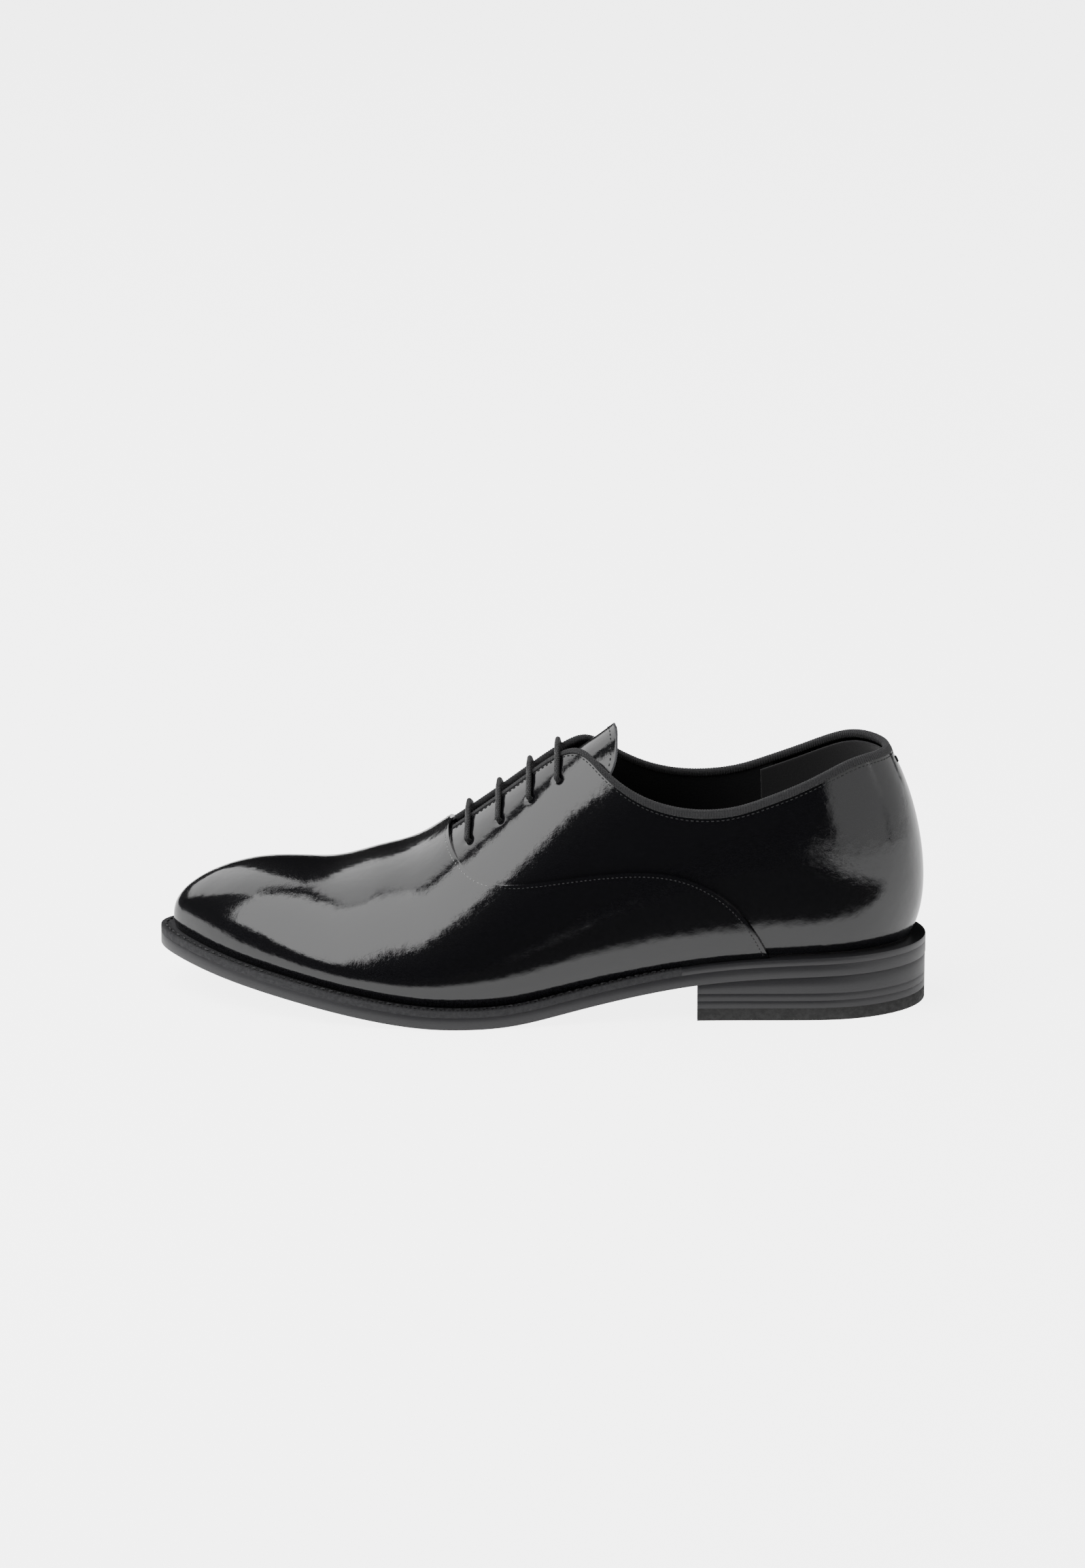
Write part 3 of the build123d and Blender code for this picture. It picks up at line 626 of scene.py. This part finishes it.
def make_materials():
    """Every finish of the shoe, by name."""
    crinkle, streaks, plait = crinkle_group(), streak_group(), weave_group()
    made = {
        "patent": plain_material("patent leather", (0.004, 0.004, 0.005), 0.4, Coat_Weight=1.0,
                                 Coat_Roughness=0.025, Coat_IOR=1.6, Specular_IOR_Level=0.05),
        "sole": plain_material("sole edge", (0.018, 0.018, 0.02), 0.4, Coat_Weight=0.12,
                               Coat_Roughness=0.3),
        "heel": plain_material("stacked heel", (0.016, 0.016, 0.018), 0.46, Coat_Weight=0.1,
                               Coat_Roughness=0.3),
        "welt": plain_material("welt", (0.022, 0.022, 0.024), 0.55),
        "lining": plain_material("lining leather", (0.012, 0.012, 0.013), 0.5),
        "suede": plain_material("heel grip suede", (0.014, 0.014, 0.015), 0.95, Sheen_Weight=0.35,
                                Sheen_Roughness=0.5),
        "ribbon": plain_material("grosgrain", (0.016, 0.016, 0.018), 0.6, Sheen_Weight=0.12),
        "cord": plain_material("waxed lace", (0.012, 0.012, 0.013), 0.5, Sheen_Weight=0.08),
        "thread": plain_material("thread", (0.02, 0.02, 0.022), 0.5),
        # Grey thread for the throat's stitches: a painted highlight, standing in for the thin
        # highlight along the seam there
        "painted highlight thread": plain_material("painted highlight thread", (0.3, 0.3, 0.3), 0.6),
        "cut edge": plain_material("cut leather edge", (0.16, 0.16, 0.17), 0.75),
        "insole": plain_material("insole leather", (0.05, 0.035, 0.025), 0.7),
        "sock": plain_material("heel sock", (0.014, 0.014, 0.015), 0.45),
        "rubber": plain_material("rubber", (0.02, 0.02, 0.02), 0.75),
        "plastic": plain_material("aglet plastic", (0.01, 0.01, 0.01), 0.2),
    }
    relief(made["patent"], crinkle, "Height", 0.2, 0.0011, ("Normal", "Coat Normal"),
           Peel_scale=110.0)
    # Burnished edges: streaks along and up, and the roughness between two limits
    burnished = {"sole": (30.0, 900.0, 0.34, 0.5), "heel": (25.0, 1300.0, 0.38, 0.52)}
    for name, (along, up, low, high) in burnished.items():
        source = relief(made[name], streaks, "Mask", 0.12, 0.0002, Along=along, Up=up)
        vary(made[name], source, "Mask", low, high)
    # Grain: its scale, and its depth in metres
    grained = {"welt": (700.0, 0.0003), "lining": (1100.0, 0.00012), "suede": (2600.0, 0.0002),
               "insole": (900.0, 0.0002), "sock": (1100.0, 0.00012), "rubber": (500.0, 0.0002),
               "cut edge": (1500.0, 0.0003)}
    for name, (scale, depth) in grained.items():
        source = relief(made[name], crinkle, "Height", 0.6, depth,
                        Peel_scale=scale, Crinkle_share=0.5)
        vary(made[name], source, "Height", 0.35, 0.95)
    plaited = {"cord": 5200.0, "ribbon": 9000.0, "thread": 6000.0, "painted highlight thread": 6000.0}
    for name, scale in plaited.items():
        relief(made[name], plait, "Height", 0.7, 0.0002, Scale=scale)
    return made


# Upper
def eyelet_place(side, x, depth, t=EYELET_T):
    """A place on a row of eyelets at a depth."""
    return under(np.array(float(s_at(side, x))), np.array(t), depth)


def quarter_depth(side, s, t, depth):
    """The quarter's depth, with a dimple round each eyelet that fades as a bell curve."""
    points = last_point(s, t)
    sunk = np.zeros(s.shape)
    for x in EYELET_X:
        reach = np.linalg.norm(points - eyelet_place(side, x, 0.0), axis=-1)
        sunk += DIMPLE * np.exp(-(reach / DIMPLE_RADIUS) ** 2)
    return depth + sunk


def make_quarters(made):
    """Both quarters, running under the vamp's edge by the lap, and their linings."""
    lining_top = lambda x: top_t(x) - LINING_SHORT_T
    for side, name in ((-1, "lateral"), (1, "medial")):
        s, t = panel(side_run(side, 147.5, -43, 320), lambda x: seam_t(x + VAMP_LAP), top_t, 70)
        outer, inner = (under(s, t, quarter_depth(side, s, t, depth)) for depth in QUARTER)
        piece = slab(f"quarter_{name}", outer, inner, 0.4)
        finish_piece(piece, f"quarter_{name}", [made["patent"], made["cut edge"]])
        grid = panel(side_run(side, 91.5, -34, 120), seam_t, lining_top, 30)
        piece = sheet(f"quarter_lining_{name}", grid, LINING, 0.2)
        finish_piece(piece, f"quarter_lining_{name}",
                     [made["lining"], made["lining"]])


def make_vamp(made):
    """The vamp and its lining, closed round the toe."""
    piece = sheet("vamp", crossing_grid(seam_x, NOSE_X, 190, 221, nose=70), VAMP, 0.5)
    finish_piece(piece, "vamp", [made["patent"], made["patent"]])
    grid = crossing_grid(lambda t: seam_x(t) - 0.6, NOSE_X, 70, 81, nose=24)
    piece = sheet("vamp_lining", grid, LINING, 0.2)
    finish_piece(piece, "vamp_lining", [made["lining"], made["lining"]])


def make_heel_grip(made):
    """The suede lining round the heel, its top tucked under the binding."""
    low, high = lambda x: 0.004 + 0 * x, lambda x: top_t(x) - GRIP_SHORT_T
    piece = sheet("heel_grip", panel(heel_run(86, 160), low, high, 40), GRIP, 0.25)
    finish_piece(piece, "heel_grip", [made["suede"], made["suede"]])


def tongue_grid():
    """s and t of the tongue, and the rise of its end out of its depth: a power of the way back.
    The end is cut square; its corners round off as the ninth power of the way out to the edge."""
    stations = 110

    def end(t):
        share = (1 - t) / (1 - TONGUE_EDGE_T)
        return TONGUE_END_X + TONGUE_SLANT * share - TONGUE_CORNER * share ** 9

    s, t = crossing_grid(end, -50.0, stations, 61, TONGUE_EDGE_T)
    forward = np.linspace(0, 1, stations)[:, None]
    return s, t, TONGUE_RISE * (1 - forward) ** TONGUE_FLICK


def make_tongue(made):
    """The tongue's patent face, its lining and the stitches across its end."""
    s, t, rise = tongue_grid()
    outer, inner = (under(s, t, depth - rise + 0 * t) for depth in TONGUE)
    piece = slab("tongue", outer, inner, 0.25)
    finish_piece(piece, "tongue", [made["patent"], made["cut edge"]], "tongue")
    top, under_side = (under(s, t, depth - rise + 0 * t) for depth in TONGUE_LINING)
    piece = slab("tongue_lining", top, under_side, 0.2)
    finish_piece(piece, "tongue_lining", [made["lining"], made["cut edge"]],
                 "tongue")
    row = 3, slice(4, -4)
    piece = stitches("tongue_stitches", outer[row], normal_at(s, t)[row], 1.4, 2.3, 0.25)
    finish_piece(piece, None, [made["thread"]], "tongue")


def edge_way(step):
    """s along the quarters' top edge from throat to throat, at equal steps, with the distance."""
    s = heel_run(-36, 1500)
    x = last_point(s, np.zeros(len(s)))[:, 0]
    way = way_along(last_point(s, top_t(x)))
    even = np.arange(0, way[-1], step)
    return np.interp(even, way, s), even


def edge_point(s, rise, depth):
    """Points above the quarters' top edge by a rise in millimetres, at a depth."""
    x = last_point(s, np.zeros(s.shape))[..., 0]
    edge = top_t(x)
    step = last_point(s, edge + TINY) - last_point(s, edge - TINY)
    slope = np.linalg.norm(step, axis=-1) / (2 * TINY)
    return under(s, edge + rise / slope, depth)


def make_binding(made):
    """The ribbed ribbon folded over the top edge: a U section with a rib at each pitch."""
    pitch, rib = 1.05, 0.2
    s, way = edge_way(0.15)
    # The section, going up the outer leg, over the fold and down the inner leg
    fold = np.linspace(0, math.pi, 9)
    rise = np.concatenate([[-2.1, -1.4, -0.7], 0.15 + 1.35 * np.sin(fold), [-0.6, -1.3]])
    depth = np.concatenate([[1.25] * 3, 2.65 - 1.4 * np.cos(fold), [4.05] * 2])
    push_rise = np.concatenate([[0.0] * 3, np.sin(fold), [0.0] * 2])
    push_depth = np.concatenate([[-1.0] * 3, -np.cos(fold), [1.0] * 2])
    swell = rib * (np.abs(np.sin(math.pi * way / pitch)) ** 0.8 - 0.6)[:, None]
    points = edge_point(s[:, None] + 0 * rise, rise + swell * push_rise, depth + swell * push_depth)
    columns = len(rise)
    faces = grid_faces(len(s), columns, wrap_columns=True)
    piece = mesh_object("topline_binding", points, facing_out(points, faces))
    finish_piece(piece, "topline_binding", [made["ribbon"]])
    s, way = edge_way(0.4)
    row = edge_point(s, -3.1 + 0 * s, 1.5 + 0 * s)
    x = last_point(s, np.zeros(len(s)))[:, 0]
    piece = stitches("topline_stitches", row, normal_at(s, top_t(x)), 1.35, 2.0, 0.22)
    finish_piece(piece, None, [made["thread"]])


def make_seam_stitches(made):
    """The rows along the vamp's back edge: dark thread on the wings, and at the throat a paler grey
    thread that paints in the seam's thin highlight.
    """
    # The throat's rows take the grey thread that paints in the seam's highlight; the wings take the
    # dark thread
    parts = (("wing", 0.004, 0.42, "thread"), ("throat", 0.44, 0.9, "painted highlight thread"))
    inset = 1.7
    for side, name in ((-1, "lateral"), (1, "medial")):
        for part, low, high, thread in parts:
            t = np.linspace(low, high, 300)
            s = s_at(side, seam_x(t))
            edge, normal = under(s, t, 0.0), normal_at(s, t)
            run = np.gradient(edge, axis=0)
            run /= np.linalg.norm(run, axis=-1, keepdims=True)
            forward = np.cross(run, normal)
            forward *= -np.sign(forward[:, 0].sum())
            row = edge + forward * inset
            piece = stitches(f"vamp_{part}_stitches_{name}", row, normal, 1.1, 1.75, 0.2)
            finish_piece(piece, None, [made[thread]])


def make_back_tack(made):
    """The small bar tack that closes the back seam's top."""
    t = np.linspace(0.435, 0.455, 40)
    s = np.zeros(len(t))
    piece = stitches("back_tack", under(s, t, 1.4), normal_at(s, t), 0.9, 0.5, 0.35)
    finish_piece(piece, None, [made["thread"]])


# Lacing
def end_route(side, places):
    """A free end's route, from its start under the facing."""
    return [tuple(eyelet_place(side, END_X, END_DEPTH, END_T))] + places


def lead_in(route):
    """A place straight behind a route's start, so that the threaded lace meets the end in line."""
    start, after = np.array(route[0]), np.array(route[1])
    return tuple(start + (start - after) * END_LEAD / np.linalg.norm(start - after))


def lace_route():
    """The threaded lace: bars outside, diagonals under the facings, one end run up inside."""
    lateral, medial = end_route(-1, END_LATERAL), end_route(1, END_MEDIAL)
    bar = [(EYELET_T, LACE_IN), (EYELET_T, LACE_OUT), (MIDDLE_T, LACE_OUT), (BINDING_T, LACE_OVER)]
    places = [lateral[0], lead_in(lateral), tuple(eyelet_place(-1, INSIDE_X, LACE_IN, INSIDE_T))]
    for x, after in zip(EYELET_X, EYELET_X[1:] + (None,)):
        places += [tuple(eyelet_place(-1, x, depth, t)) for t, depth in bar]
        places += [tuple(eyelet_place(1, x, depth, t)) for t, depth in reversed(bar)]
        if after is not None:
            places += [tuple(eyelet_place(side, x + share * (after - x), LACE_IN, t))
                       for side, share, t in DIAGONAL]
    return places + [lead_in(medial), medial[0]]


def tightened(route, reach=1.3):
    """The route with a point close before and after each corner, so that a curve hugs it."""
    route = np.array(route, float)
    points = [route[0]]
    for before, corner, after in zip(route, route[1:], route[2:]):
        for end in (before, after):
            run = end - corner
            points.append(corner + run * min(reach / np.linalg.norm(run), 0.4))
            if end is before:
                points.append(corner)
    return points + [route[-1]]


def make_lace(made):
    """The threaded lace and its two tucked ends."""
    piece = tube("lace", tightened(lace_route()), LACE_RADIUS)
    finish_piece(piece, "lace", [made["cord"]])
    for side, name, places in ((-1, "lateral", END_LATERAL), (1, "medial", END_MEDIAL)):
        route = end_route(side, places)
        piece = tube(f"lace_end_{name}", route, LACE_RADIUS, 10)
        finish_piece(piece, f"lace_end_{name}", [made["cord"]])


# Bottom
def ring_points(s, profile):
    """The profile carried round the outline. Each profile point is an inset from the outline, a
    fraction of the way on to the middle line, and a height over the sole's underside."""
    inset, fraction, height = np.array(profile, float).T
    s = s[:, None] + 0 * inset
    edge = outline(s) - outward(s) * inset[..., None]
    middle_x = np.clip(edge[..., 0], -136, 134)
    middle = np.stack([middle_x, crest_y(middle_x)], -1)
    plan = edge + (middle - edge) * (fraction * np.ones(s.shape))[..., None]
    z = base_z(plan[..., 0]) + height
    return np.concatenate([plan, z[..., None]], -1)


def add_ring(name, points, closed):
    """A mesh from a profile carried round the outline, its ends capped where it is open."""
    rows, columns = points.shape[:2]
    faces = facing_out(points, grid_faces(rows, columns, closed, not closed))
    piece = mesh_object(name, points, faces)
    if not closed:
        first, last = range(columns), range((rows - 1) * columns, rows * columns)
        mesh = piece.data
        vertices = [tuple(v.co) for v in mesh.vertices]
        polygons = [tuple(p.vertices) for p in mesh.polygons] + [tuple(first[::-1]), tuple(last)]
        mesh.clear_geometry()
        mesh.from_pydata(vertices, [], polygons)
        mesh.polygons.foreach_set("use_smooth", np.ones(len(mesh.polygons), bool))
    piece.data.set_sharp_from_angle(angle=math.radians(38))
    return piece


def plan_s(side, x):
    """The s of the outline itself at x on one side."""
    return float(s_in_table(side, x, outline(S_TABLE)[:, 0]))


def welt_points(s):
    """The welt's section with the wheel's ribs across its top: a sine of the way round, faded out
    near both edges."""
    rib, pitch = 0.16, 1.7
    insets = np.concatenate([np.linspace(0.45, 5.2, 16), [WELT_INSET]])
    side = [(WELT_INSET, 0, 5.02), (0.04, 0, 5.02), (0.0, 0, 5.08), (0.0, 0, 7.2), (0.1, 0, 7.6)]
    points = ring_points(s, side + [(inset, 0, SOLE_EDGE) for inset in insets])
    way = way_along(outline(s))
    window = np.clip((insets - 0.6) / 0.5, 0, 1) * np.clip((4.6 - insets) / 0.6, 0, 1)
    points[:, len(side):, 2] += rib * np.sin(2 * math.pi * way / pitch)[:, None] * window[None, :]
    return points


def make_bottom(made):
    """Outsole, welt with its stitches, and heel rand."""
    inward = [1.0, 0.66, 0.33, 0.0]
    profile = [(0.6, share, 0.0) for share in inward]
    profile += [(0.15, 0, 0.08), (0.0, 0, 0.35), (0.0, 0, 4.9), (0.04, 0, 4.97)]
    profile += [(0.5, share, OUTSOLE_THICK) for share in inward[::-1]]
    points = ring_points(np.linspace(0, 1, 720, endpoint=False), profile)
    piece = add_ring("outsole", points, True)
    finish_piece(piece, "outsole", [made["sole"]])
    ends = plan_s(-1, WELT_END), plan_s(1, WELT_END)
    piece = add_ring("welt", welt_points(np.linspace(*ends, 1800)), False)
    finish_piece(piece, "welt", [made["welt"]])
    rand = [(WELT_INSET, 0, 5.02), (0.04, 0, 5.02), (0.0, 0, 5.08), (0.0, 0, 7.2), (0.15, 0, 7.65),
            (0.6, 0, SOLE_EDGE), (WELT_INSET, 0, SOLE_EDGE)]
    piece = add_ring("heel_rand", ring_points(np.linspace(ends[1] - 1, ends[0], 500), rand), False)
    finish_piece(piece, "heel_rand", [made["sole"]])
    s = np.linspace(ends[0] + 0.006, ends[1] - 0.006, 3000)
    track = ring_points(s, [(2.1, 0, SOLE_EDGE + 0.12)])[:, 0]
    up = np.zeros(track.shape)
    up[:, 2] = 1
    piece = stitches("welt_stitching", track, up, 2.5, 3.4, 0.42, 0.1)
    finish_piece(piece, "welt_stitching", [made["thread"]])


def heel_plan():
    """The heel's outline behind its straight breast."""
    inset = 0.2
    s = np.linspace(plan_s(1, BREAST_X) - 1, plan_s(-1, BREAST_X), 240)
    curve = outline(s) - outward(s) * inset
    breast = curve[-1] + (curve[0] - curve[-1]) * np.linspace(0, 1, 24)[1:-1, None]
    return np.concatenate([curve, breast])


def add_plate(name, low, high, edge=0.02):
    """A lift of the heel between two heights, each a number or a function of x."""
    plan = heel_plan()
    run = np.roll(plan, -1, 0) - np.roll(plan, 1, 0)
    out = np.stack([run[:, 1], -run[:, 0]], -1)
    out *= np.sign(((plan - plan.mean(0)) * out).sum())
    out /= np.linalg.norm(out, axis=-1, keepdims=True)
    centre = np.broadcast_to(plan.mean(0), plan.shape)
    # Each row: its plan, its height and a shift of the height
    rows = []
    for shape, level, shift in ((centre, low, 0), (plan - out * edge, low, 0), (plan, low, edge),
                                (plan, high, -edge), (plan - out * edge, high, 0),
                                (centre, high, 0)):
        z = level(shape[:, 0]) if callable(level) else np.full(len(shape), float(level))
        rows.append(np.concatenate([shape, (z + shift)[:, None]], -1))
    points = np.stack(rows)
    faces = grid_faces(len(rows), len(plan), wrap_columns=True)
    piece = mesh_object(name, points, facing_out(points, faces))
    piece.data.set_sharp_from_angle(angle=math.radians(50))
    return piece


def make_heel(made):
    """The top piece and three lifts."""
    names = ("top_piece", "heel_lift_1", "heel_lift_2", "heel_lift_3")
    levels = (0.0, 5.0, 8.0, 11.0, lambda x: base_z(x) - 0.01)
    for name, low, high in zip(names, levels, levels[1:]):
        finish = ("top_piece_rubber", "rubber") if name == "top_piece" else ("heel_leather", "heel")
        finish_piece(add_plate(name, low, high), name, [made[finish[1]]])


def repaint(made):
    """New finishes on the CAD pieces that stay as they are."""
    paints = {"insole": "insole", "heel_sock": "sock",
              "aglet_lateral": "plastic", "aglet_medial": "plastic"}
    for node, name in paints.items():
        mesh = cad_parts[node].data
        mesh.materials.clear()
        mesh.materials.append(made[name])


def build():
    """The whole scene, camera first, then the cords."""
    add_camera()
    made = make_materials()
    make_lace(made)
    make_vamp(made)
    make_quarters(made)
    make_heel_grip(made)
    make_tongue(made)
    make_binding(made)
    make_seam_stitches(made)
    make_back_tack(made)
    make_bottom(made)
    make_heel(made)
    repaint(made)
    add_studio()


build()
